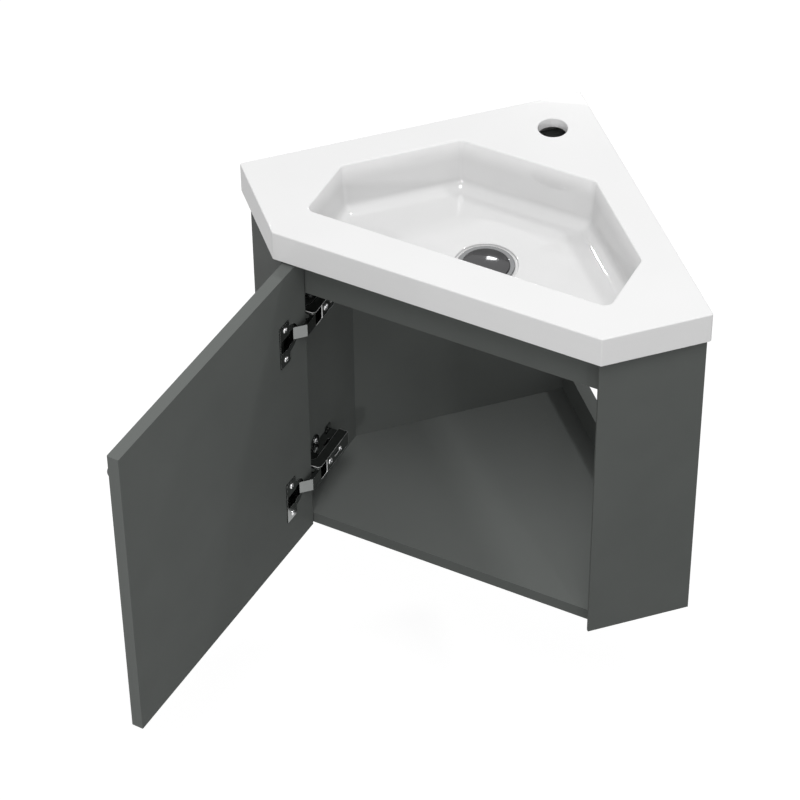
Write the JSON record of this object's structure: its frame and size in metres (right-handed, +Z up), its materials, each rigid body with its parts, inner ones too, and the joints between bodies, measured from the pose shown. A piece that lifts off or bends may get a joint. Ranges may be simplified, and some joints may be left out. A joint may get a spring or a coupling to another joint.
{
  "type": "corner vanity unit",
  "caption": "Corner vanity unit: a five-sided cast basin with an angular bowl on a wall-hung corner cabinet with one hinged door.",
  "frame": {"origin": "the line where the two walls meet, level with the top face of the basin", "axes": "+X to the right seen from the room, +Y into the wall corner, +Z up; the walls run at 45 degrees to X and Y"},
  "size_m": [0.594, 0.7484, 0.476],
  "materials": {
    "mineral_cast": "glossy white gel coat on mineral cast",
    "grey_board": "satin dark grey lacquer on board",
    "nickel_steel": "satin nickel plating",
    "zinc_steel": "zinc plating",
    "chrome_brass": "polished chrome",
    "black_rubber": "matte",
    "beech": "raw wood"
  },
  "bodies": {
    "cabinet": {"basin": "mineral_cast", "side_panel_left": "grey_board", "side_panel_right": "grey_board", "floor_panel": "grey_board", "front_rail": "grey_board", "hinge_panel": "grey_board", "back_panel": "grey_board", "back_rail_upper": "grey_board", "back_rail_lower": "grey_board", "cam_locks": "zinc_steel", "cam_bolts": "zinc_steel", "dowels": "beech", "waste_body": "chrome_brass", "waste_flange_seal": "black_rubber", "waste_under_seal": "black_rubber", "waste_nut": "chrome_brass", "mounting_plate_upper": "nickel_steel", "mounting_plate_lower": "nickel_steel", "hinge_arm_upper": "nickel_steel", "hinge_arm_lower": "nickel_steel", "plate_screws": "zinc_steel", "arm_adjusting_screws": "zinc_steel", "arm_fixing_screws": "zinc_steel", "arm_pins": "zinc_steel"},
    "hinge_links": {"hinge_link_upper": "nickel_steel", "hinge_link_lower": "nickel_steel", "link_pins": "zinc_steel"},
    "door": {"door_panel": "grey_board", "hinge_cup_upper": "nickel_steel", "hinge_cup_lower": "nickel_steel", "cup_screws": "zinc_steel", "door_knob": "chrome_brass", "knob_stud": "zinc_steel"},
    "plug": {"plug_cap": "chrome_brass", "plug_stem": "zinc_steel", "plug_seal": "black_rubber"}
  },
  "joints": [
    {"name": "door_swing", "type": "hinge", "parent": "cabinet", "child": "door", "pos_m": [-0.1848, -0.372, -0.26], "axis": [0, 0, 1], "range_deg": [-12, 93]},
    {"name": "link_swing", "type": "hinge", "parent": "cabinet", "child": "hinge_links", "pos_m": [-0.1905, -0.359, -0.26], "axis": [0, 0, 1], "range_deg": [-7.5, 57.7]},
    {"name": "plug_lift", "type": "slide", "parent": "cabinet", "child": "plug", "axis": [0, 0, 1], "range_m": [0, 0.009]}
  ],
  "couplings": [
    {"joint": "link_swing", "follows": "door_swing", "ratio": 0.62}
  ]
}
